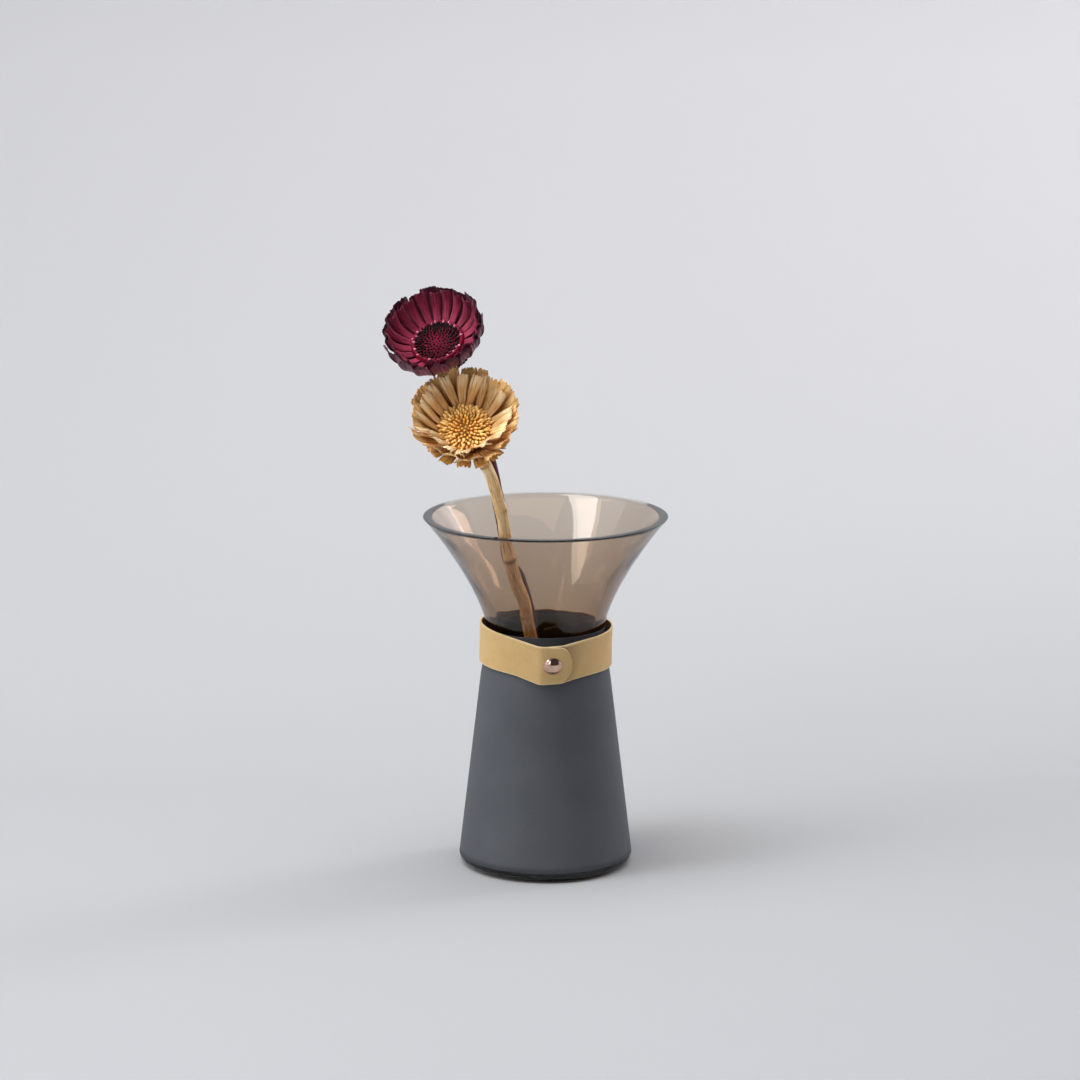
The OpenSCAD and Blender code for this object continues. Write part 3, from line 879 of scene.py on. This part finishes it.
def makeBlade(name, row, chance):
    # one dry bract: raised along its middle, pleated, with a torn tip
    rows, columns = blade["rows"], blade["columns"]
    sway, lift = chance.uniform(-0.7, 0.7), chance.uniform(-0.5, 0.9)
    ridgePhase, wide = chance.uniform(-0.5, 0.5), chance.uniform(0.88, 1.1)
    nicks = [chance.uniform(-0.7, 0.5) for _ in range(columns + 1)]
    nicks = [n - (1.1 if chance.random() < 0.16 else 0) for n in nicks]
    crown = row["crown"] * chance.uniform(0.6, 1.4)
    points, faces = [], []
    marks = {"along": [], "across": []}
    for side in (1, -1):
        for i in range(rows + 1):
            for j in range(columns + 1):
                u = 2 * j / columns - 1
                end = 1 + row["ragged"] * nicks[j] * 0.5 - 0.05 * abs(u) ** 2.5
                t = (i / rows) * end
                curve = [row["foot"], row["bend"], row["tip"]]
                here, ahead = bezier(curve, min(t, 1)), bezier(curve, min(t, 1) + 0.01)
                way = (ahead - here).normalized()
                inward = Vector((-way.y, way.x))
                here = here + way * max(t - 1, 0) * 18
                out = Vector((way.y, -way.x))
                width = mix(row["footWidth"], row["tipWidth"] * wide, smoothStep(0, 0.75, t)) / 2
                width *= 1 - 0.06 * smoothStep(0.86, 1.0, t)
                ridge = row["ridge"] * math.cos(3.6 * math.pi * (u + 0.16 * ridgePhase))
                ridge *= smoothStep(0.02, 0.25, t) * (0.35 + 0.65 * t) * (1 - 0.4 * abs(u))
                dish = crown * (0.4 - u * u) * smoothStep(0.05, 0.6, t)
                bend = (row["curl"] + lift) * smoothStep(0.6, 1.1, t)
                thick = blade["thick"] * (0.5 if side > 0 else -0.5)
                thick *= (1 - 0.62 * abs(u) ** 3) * (1 - 0.55 * smoothStep(0.85, 1, t))
                here = here + inward * (thick + ridge * 0.6 + dish) + out * bend
                crumple = 0.34 * noise.noise(Vector((u * 2.4 + row["seed"], t * 6, sway * 9)))
                here = here + inward * crumple * smoothStep(0.3, 0.9, t)
                points.append(Vector((here.x, u * width + sway * t * t, here.y)) * mm)
                addMarks(marks, t, u)
    step, layer = columns + 1, (rows + 1) * (columns + 1)
    for i in range(rows):
        for j in range(columns):
            a = i * step + j
            faces.append([a, a + 1, a + 1 + step, a + step])
            faces.append([a + layer, a + step + layer, a + 1 + step + layer, a + 1 + layer])
    rim = [j for j in range(columns + 1)] + [i * step + columns for i in range(1, rows + 1)]
    rim += [rows * step + j for j in range(columns - 1, -1, -1)]
    rim += [i * step for i in range(rows - 1, 0, -1)]
    for a, b in zip(rim, rim[1:] + rim[:1]):
        faces.append([a, b, b + layer, a + layer])
    return addMesh(name, points, faces, marks)


def randomNumber(tree, kind, low, high, seed):
    first, out = {"FLOAT": (2, 1), "INT": (4, 2)}[kind]
    return addNode(tree, "FunctionNodeRandomValue", {first: low, first + 1: high, "Seed": seed},
                   data_type=kind).outputs[out]


def newSetTree(name, numbers):
    # a tree that sets variants on a run of points: also gives its index, points and seeds
    tree, given, result = newTree("GeometryNodeTree", name, {
        "Geometry": "Geometry", "Collection": "Shelf", "Material": "Finish",
        "Int": "Variants, Count, Seed", "Float": numbers}, {"Geometry": "Geometry"})
    index = addNode(tree, "GeometryNodeInputIndex").outputs[0]
    line = addNode(tree, "GeometryNodeMeshLine", {"Count": given["Count"], "Offset": (0, 0, 0)})
    seeds = [plus(tree, given["Seed"], float(i)) for i in range(5)]
    return tree, given, result, index, line.outputs[0], seeds


def setVariants(tree, given, result, points, turn, size, pickSeed, toneSeed):
    # puts a variant picked by chance on each point and gives it a tone of its own
    shelf = addNode(tree, "GeometryNodeCollectionInfo", {"Collection": given["Shelf"],
                    "Separate Children": True, "Reset Children": True})
    pick = randomNumber(tree, "INT", 0, minus(tree, given["Variants"], 1.0), pickSeed)
    placed = addNode(tree, "GeometryNodeInstanceOnPoints", {
        "Points": points, "Instance": shelf.outputs[0], "Pick Instance": True,
        "Instance Index": pick, "Rotation": turn, "Scale": size})
    toned = addNode(tree, "GeometryNodeStoreNamedAttribute", {
        "Geometry": placed.outputs[0], "Name": "tone",
        "Value": randomNumber(tree, "FLOAT", 0.0, 1.0, toneSeed)},
        data_type="FLOAT", domain="INSTANCE")
    real = addNode(tree, "GeometryNodeRealizeInstances", {0: toned.outputs[0]})
    done = addNode(tree, "GeometryNodeSetMaterial", {"Geometry": real.outputs[0],
                   "Material": given["Finish"]})
    fillSockets(result, {"Geometry": done.outputs[0]})


def makeRowTree():
    # sets blades round a ring, each picked, tipped and sized by chance
    tree, given, result, index, points, seeds = newSetTree(
        "bractRow", "Turn, Jitter, Tip, Twist, Shingle, Smallest, Largest")
    step = addMath(tree, "DIVIDE", 2 * math.pi, given["Count"])
    angle = plus(tree, times(tree, index, step), given["Turn"])
    jitter, tip, twist = [
        randomNumber(tree, "FLOAT", times(tree, given[key], -1.0), given[key], seed)
        for key, seed in zip(("Jitter", "Tip", "Twist"), seeds)]
    turn = joinVector(tree, plus(tree, twist, given["Shingle"]), tip, plus(tree, angle, jitter))
    size = randomNumber(tree, "FLOAT", given["Smallest"], given["Largest"], seeds[3])
    setVariants(tree, given, result, points, turn, size, seeds[4], given["Seed"])
    return tree


def runTree(name, tree, made, values, place):
    # runs a geometry tree once on the made variants and keeps its result as a plain mesh
    shelf = bpy.data.collections.new(name + "Shelf")
    scene.collection.children.link(shelf)
    for piece in made:
        scene.collection.objects.unlink(piece)
        shelf.objects.link(piece)
    values = {**values, "Shelf": shelf, "Variants": len(made)}
    host = addObject(name + "Host", bpy.data.meshes.new(name + "Host"))
    modifier = host.modifiers.new("build", "NODES")
    modifier.node_group = tree
    sockets = {s.name: s.identifier for s in tree.interface.items_tree if s.in_out == "INPUT"}
    for key, value in values.items():
        modifier[sockets[key]] = value
    bpy.context.view_layer.update()
    depsgraph = bpy.context.evaluated_depsgraph_get()
    mesh = bpy.data.meshes.new_from_object(host.evaluated_get(depsgraph),
                                           preserve_all_data_layers=True, depsgraph=depsgraph)
    host.modifiers.clear()
    for spent in [host] + list(shelf.objects):
        bpy.data.objects.remove(spent)
    bpy.data.collections.remove(shelf)
    mesh.name = name
    mesh.transform(place)
    mesh.shade_smooth()
    return addObject(name, mesh)


rowTree = makeRowTree()


def makeRow(name, row, finish, place):
    chance = random.Random(row["seed"])
    made = [makeBlade(f"{name}Blade{i}", row, chance) for i in range(row["variants"])]
    return runTree(name, rowTree, made, {
        "Count": row["count"], "Turn": math.radians(row["turn"]), "Jitter": 0.03,
        "Tip": row["swing"], "Twist": row["twist"], "Shingle": row["shingle"], "Smallest": 0.95,
        "Largest": 1.03, "Seed": row["seed"], "Finish": finish}, place)


def makeFloret(name, shape, chance):
    # one short bent peg with a blunt rounded head
    sides, rings = 7, 6
    points, marks = [], {"along": []}
    lean = chance.uniform(0.1, 0.7)
    for i in range(rings + 1):
        t = i / rings
        radius = shape["radius"] * (0.72 + 0.4 * math.sin(math.pi * min(t * 1.15, 1)))
        radius *= math.sqrt(max(1 - max((t - 0.72) / 0.28, 0) ** 2, 0.02))
        for j in range(sides):
            angle = 2 * math.pi * j / sides
            points.append(Vector((radius * math.cos(angle) + lean * t * t * shape["radius"] * 2,
                                  radius * math.sin(angle), shape["height"] * t)) * mm)
            marks["along"].append(t)
    return addMesh(name, points, tubeFaces(rings, sides), marks)


def makeDiscTree():
    # sunflower spiral of florets on a low crown, leaning outwards towards the edge
    tree, given, result, index, points, seeds = newSetTree(
        "floretDisc", "Radius, Base, Crown, Lean, Inner Size, Outer Size")
    share = addMath(tree, "DIVIDE", plus(tree, index, 0.5), given["Count"])
    ring = addMath(tree, "SQRT", share)
    turn = times(tree, index, math.pi * (3 - math.sqrt(5)))
    reach = times(tree, ring, given["Radius"])
    height = plus(tree, given["Base"], times(tree, given["Crown"], minus(tree, 1.0, share)))
    spot = joinVector(tree, times(tree, reach, addMath(tree, "COSINE", turn)),
                      times(tree, reach, addMath(tree, "SINE", turn)), height)
    marked = addNode(tree, "GeometryNodeStoreNamedAttribute", {
        "Geometry": points, "Name": "ring", "Value": ring}, data_type="FLOAT", domain="POINT")
    placed = addNode(tree, "GeometryNodeSetPosition", {"Geometry": marked.outputs[0],
                     "Position": spot})
    lean = plus(tree, times(tree, ring, given["Lean"]),
                randomNumber(tree, "FLOAT", -0.18, 0.18, seeds[0]))
    roll = randomNumber(tree, "FLOAT", -0.22, 0.22, seeds[1])
    tilt = joinVector(tree, roll, lean, turn)
    size = remap(tree, ring, 0.0, 1.0, given["Inner Size"], given["Outer Size"])
    size = times(tree, size, randomNumber(tree, "FLOAT", 0.86, 1.14, seeds[2]))
    setVariants(tree, given, result, placed.outputs[0], tilt, size, seeds[3], seeds[4])
    return tree


discTree = makeDiscTree()
tanDisc = {"count": 170, "radius": 0.74, "height": 3.2, "lean": 1.15, "innerSize": 0.75,
           "outerSize": 1.1, "base": -1.9, "crown": 2.2, "reach": 12.4, "seed": 41}
burgundyDisc = {"count": 165, "radius": 0.62, "height": 2.3, "lean": 0.6, "innerSize": 0.62,
                "outerSize": 1.05, "base": -1.9, "crown": 2.0, "reach": 12.6, "seed": 53}


def makeDisc(name, disc, finish, place):
    chance = random.Random(disc["seed"])
    made = [makeFloret(f"{name}Floret{i}", disc, chance) for i in range(4)]
    return runTree(name, discTree, made, {
        "Count": disc["count"], "Radius": disc["reach"] * mm, "Base": disc["base"] * mm,
        "Crown": disc["crown"] * mm, "Lean": disc["lean"], "Inner Size": disc["innerSize"],
        "Outer Size": disc["outerSize"], "Seed": disc["seed"], "Finish": finish}, place)


def makeReceptacle(name, discRadius, collar, place, seed):
    # woody cone under the disc, wrinkled where it dried, with a swollen collar round the disc
    edge = discRadius + 0.7
    outline = bevelRun([(0, -16), (4.2, -16), (5.6, -13), (9, -9.6), (discRadius + 1.2, -5.4),
                        (discRadius + 2.4, -2.6), (edge + 0.6, -1.2 + 0.9 * collar),
                        (edge - 0.5, -1.2 + 0.8 * collar), (edge - 1, -1.7), (0, -1.4)], 0.4)

    def wrinkle(index, angle, height):
        if height > -2:
            return 0
        return 0.28 * noise.noise(Vector((6 * math.cos(angle) + seed, 6 * math.sin(angle),
                                          height * 0.2)))
    sides = 72
    piece = latheMesh(name, outline, sides, place, wrinkle)
    values = []
    for radius, height in outline:
        values += [smoothStep(-3.2, -2.0, height)] * (1 if radius < 1e-6 else sides)
    piece.data.attributes.new("collar", "FLOAT", "POINT").data.foreach_set("value", values)
    return piece


def makeBractFinish(name, colours, footEnd, tipStart, spread, roughness, sheen, bump):
    finish, tree, shader = newFinish(name)
    colours = {key: paint(*value) for key, value in colours.items()}
    skin = useGroup(tree, bractSkin, {**colours, "Foot End": footEnd, "Tip Start": tipStart,
                    "Tone Spread": spread})
    addBump(tree, shader, skin["Height"], bump, 0.0005)
    setShader(shader, colour=skin["Color"], roughness=roughness, specular=0.35, sheen=sheen,
              sheenRoughness=0.4)
    return finish


def makeFloretFinish(name, shape):
    finish, tree, shader = newFinish(name)
    along, ring, tone = readMark(tree, "along"), readMark(tree, "ring"), readMark(tree, "tone")
    rimMask = remap(tree, ring, shape["rimStart"], shape["rimStart"] + 0.12, smooth=True)
    head = mixColour(tree, rimMask, shape["centre"], shape["rim"])
    # darker towards each floret's root: the disc's own darker base, with painted shade in the gaps
    # between florets
    colour = mixColour(tree, remap(tree, along, shape["rootEnd"], 0.95, smooth=True),
                       shape["root"], head)
    bead = times(tree, rimMask, remap(tree, tone, 0.45, 0.55))
    bead = times(tree, bead, remap(tree, along, 0.4, 0.6))
    colour = mixColour(tree, bead, colour, shape["bead"])
    level = remap(tree, tone, 0.0, 1.0, 0.72, 1.28)
    colour = mixColour(tree, 1.0, colour, greyOf(tree, level), "MULTIPLY")
    addBump(tree, shader, mottle(tree, 700.0, 3000.0, 0.4), 0.4, 0.0003)
    setShader(shader, colour=colour, roughness=0.6, specular=0.35)
    return finish


def makeWoodFinish(name, dark, body, light, collar):
    finish, tree, shader = newFinish(name)
    mask = mottle(tree, 180.0, 1200.0, 0.5)
    colour = addRamp(tree, mask, [(0.35, dark), (0.5, body), (0.66, light)])
    addBump(tree, shader, mask, 0.6, 0.0006)
    setShader(shader, colour=mixColour(tree, readMark(tree, "collar"), colour, collar),
              roughness=0.75, specular=0.25)
    return finish


tanFinishes = {
    "inner": makeBractFinish("tanBract", {
        "Foot": (200, 142, 72), "Body": (228, 184, 122), "Upper": (250, 222, 174),
        "Tip": (214, 136, 56), "Light": (254, 240, 208), "Dark": (150, 82, 30)},
        0.22, 0.96, 0.2, 0.6, 0.1, 0.9),
    "outer": makeBractFinish("tanOuterBract", {
        "Foot": (140, 80, 32), "Body": (188, 128, 64), "Upper": (244, 202, 136),
        "Tip": (208, 128, 50), "Light": (250, 222, 170), "Dark": (128, 66, 22)},
        0.3, 0.95, 0.24, 0.6, 0.1, 0.9),
    "back": makeBractFinish("tanBackBract", {
        "Foot": (170, 108, 46), "Body": (216, 158, 78), "Upper": (242, 190, 104),
        "Tip": (198, 122, 46), "Light": (246, 208, 134), "Dark": (140, 80, 30)},
        0.25, 0.96, 0.22, 0.62, 0.08, 0.9),
    "florets": makeFloretFinish("tanDiscFloret", {
        "root": paint(218, 142, 58), "centre": paint(255, 212, 118), "rim": paint(255, 216, 130),
        "bead": paint(255, 218, 142), "rimStart": 0.5, "rootEnd": 0.3}),
    "receptacle": makeWoodFinish("tanWood", paint(104, 68, 36), paint(146, 104, 58),
                                 paint(182, 140, 88), paint(190, 136, 66)),
}
burgundyFinishes = {
    "inner": makeBractFinish("burgundyBract", {
        "Foot": (150, 32, 66), "Body": (152, 44, 76), "Upper": (136, 38, 68),
        "Tip": (40, 10, 26), "Light": (186, 70, 108), "Dark": (58, 10, 26)},
        0.2, 0.95, 0.22, 0.55, 0.15, 0.9),
    "outer": makeBractFinish("burgundyOuterBract", {
        "Foot": (132, 52, 80), "Body": (122, 46, 72), "Upper": (96, 32, 58),
        "Tip": (26, 8, 20), "Light": (164, 86, 112), "Dark": (46, 12, 28)},
        0.25, 0.92, 0.26, 0.5, 0.2, 0.9),
    "back": makeBractFinish("burgundyBackBract", {
        "Foot": (84, 26, 50), "Body": (92, 34, 60), "Upper": (70, 22, 46),
        "Tip": (24, 8, 20), "Light": (134, 70, 98), "Dark": (36, 10, 24)},
        0.25, 0.86, 0.26, 0.5, 0.2, 0.8),
    "florets": makeFloretFinish("burgundyDiscFloret", {
        # root: near black, painted shade in the pits between florets over the disc's dark base
        "root": paint(5, 1, 3), "centre": paint(27, 5, 12), "rim": paint(88, 16, 38),
        "bead": paint(232, 142, 174), "rimStart": 0.86, "rootEnd": 0.7}),
    "receptacle": makeWoodFinish("burgundyWood", paint(30, 8, 18), paint(62, 18, 36),
                                 paint(92, 34, 56), paint(122, 16, 48)),
}


def makeFlower(word, flower, disc, finishes):
    body, place = word + "_flower", flowerPlace(flower)
    for part in ("inner", "outer", "back"):
        piece = makeRow(word + part.capitalize() + "Bracts", flower[part], finishes[part], place)
        handOver(piece, body, f"{word}_{part}_bracts")
    piece = makeDisc(word + "Florets", disc, finishes["florets"], place)
    handOver(piece, body, word + "_florets")
    piece = makeReceptacle(word + "Receptacle", flower["discRadius"], flower["collar"], place,
                           flower["seed"])
    handOver(piece, body, word + "_receptacle", finishes["receptacle"])
    print(word, "flower opened")


makeFlower("tan", tanFlower, tanDisc, tanFinishes)
makeFlower("burgundy", burgundyFlower, burgundyDisc, burgundyFinishes)

# studio: pale sweep, soft light and the camera

studio = {
    # the sweep is one paper: its floor and wall colours are a painted fall of light, darker on the
    # floor and lighter up the wall
    "shadedFloorColour": paint(173, 176, 180), "litWallColour": paint(227, 228, 231), "halfWidth": 7.0,
    "front": -7.0, "coveStart": 0.7, "coveRadius": 1.8, "top": 5.0, "fade": (0.15, 1.7),
    "airLight": (0.92, 0.96, 1.0), "airDark": (0.05, 0.05, 0.06), "airStrength": 1.08,
}
studioLights = [
    {"name": "keyBox", "turn": 68, "rise": 54, "distance": 1.7, "size": (0.55, 1.5),
     "power": 20.0, "colour": (1.0, 0.97, 0.93), "mirrored": True},
    {"name": "topBox", "turn": -20, "rise": 80, "distance": 1.6, "size": (1.2, 1.2),
     "power": 13.0, "colour": (1.0, 0.975, 0.94)},
    {"name": "cardBox", "turn": 30, "rise": 24, "distance": 2.0, "size": (0.5, 1.1),
     "power": 4.0, "colour": (1.0, 0.97, 0.93), "mirrored": True},
    {"name": "fillBox", "turn": -70, "rise": 35, "distance": 2.4, "size": (1.6, 1.6),
     "power": 2.0, "colour": (1.0, 0.93, 0.9)},
    {"name": "wallWash", "turn": -78, "rise": 18, "distance": 2.6, "size": (1.2, 1.2),
     "power": 60.0, "colour": (1.0, 0.94, 0.95), "aim": (0.5, 2.2, 0.7)},
]


def makeSweep():
    profile = [(studio["front"], 0.0), (studio["coveStart"], 0.0)]
    radius = studio["coveRadius"]
    for i in range(1, 33):
        angle = math.pi / 2 * i / 32
        profile.append((studio["coveStart"] + radius * math.sin(angle),
                        radius * (1 - math.cos(angle))))
    profile.append((studio["coveStart"] + radius, studio["top"]))
    half, drop = studio["halfWidth"], -0.0004
    points = [(side * half, y, z + drop) for y, z in profile for side in (-1, 1)]
    faces = [[2 * i, 2 * i + 1, 2 * i + 3, 2 * i + 2] for i in range(len(profile) - 1)]
    mesh = bpy.data.meshes.new("sweep")
    mesh.from_pydata(points, [], faces)
    mesh.shade_smooth()
    finish, tree, shader = newFinish("sweepPaper")
    # painted light: the paper's colour fades from the darker floor to the lighter wall
    far = addNode(tree, "ShaderNodeSeparateXYZ", {0: objectPlace(tree)}).outputs[1]
    colour = mixColour(tree, remap(tree, far, *studio["fade"]), studio["shadedFloorColour"],
                       studio["litWallColour"])
    setShader(shader, colour=colour, roughness=0.9, specular=0.1)
    mesh.materials.append(finish)
    addObject("sweep", mesh)


def addLight(name, turn, rise, distance, size, power, colour, aim, mirrored=False):
    # a light that isn't mirrored leaves no bright shape in the glass and the snap
    turn, rise = math.radians(turn), math.radians(rise)
    away = Vector((-math.sin(turn) * math.cos(rise), -math.cos(turn) * math.cos(rise),
                   math.sin(rise)))
    data = bpy.data.lights.new(name, "AREA")
    data.shape, data.size, data.size_y = "RECTANGLE", size[0], size[1]
    data.energy, data.color = power, colour
    lamp = addObject(name, data)
    lamp.location = Vector(aim) + away * distance
    lamp.rotation_euler = (-away).to_track_quat("-Z", "Y").to_euler()
    lamp.visible_glossy = mirrored


def makeStudio():
    makeSweep()
    low, high = cadBox
    for light in studioLights:
        addLight(**{"aim": (0, 0, (low.z + high.z) / 2), **light})
    world = bpy.data.worlds.new("studioAir")
    world.use_nodes = True
    tree = world.node_tree
    # the room is pale to the left and dark up behind the camera to the right
    way = addNode(tree, "ShaderNodeTexCoord").outputs["Generated"]
    dark = addNode(tree, "ShaderNodeVectorMath", {0: way, 1: (0.4, -0.8, 0.45)},
                   operation="DOT_PRODUCT").outputs["Value"]
    share = remap(tree, dark, 0.2, 0.8, smooth=True)
    colour = mixColour(tree, share, studio["airLight"] + (1,), studio["airDark"] + (1,))
    fillSockets(tree.nodes["Background"], {"Color": colour, "Strength": studio["airStrength"]})
    scene.world = world
    scene.view_settings.view_transform = "Standard"


camera = {"aim": (-0.0031, 0.0, 0.186), "distance": 2.19, "rise": 11.96, "lens": 130.07}


def makeCamera():
    data = bpy.data.cameras.new("studioCamera")
    data.lens, data.sensor_width = camera["lens"], 36
    shot = addObject("studioCamera", data)
    rise = math.radians(camera["rise"])
    away = Vector((0, -math.cos(rise), math.sin(rise)))
    shot.location = Vector(camera["aim"]) + away * camera["distance"]
    shot.rotation_euler = (math.pi / 2 - rise, 0, 0)
    scene.camera = shot


makeStudio()
makeCamera()
print("studio set")
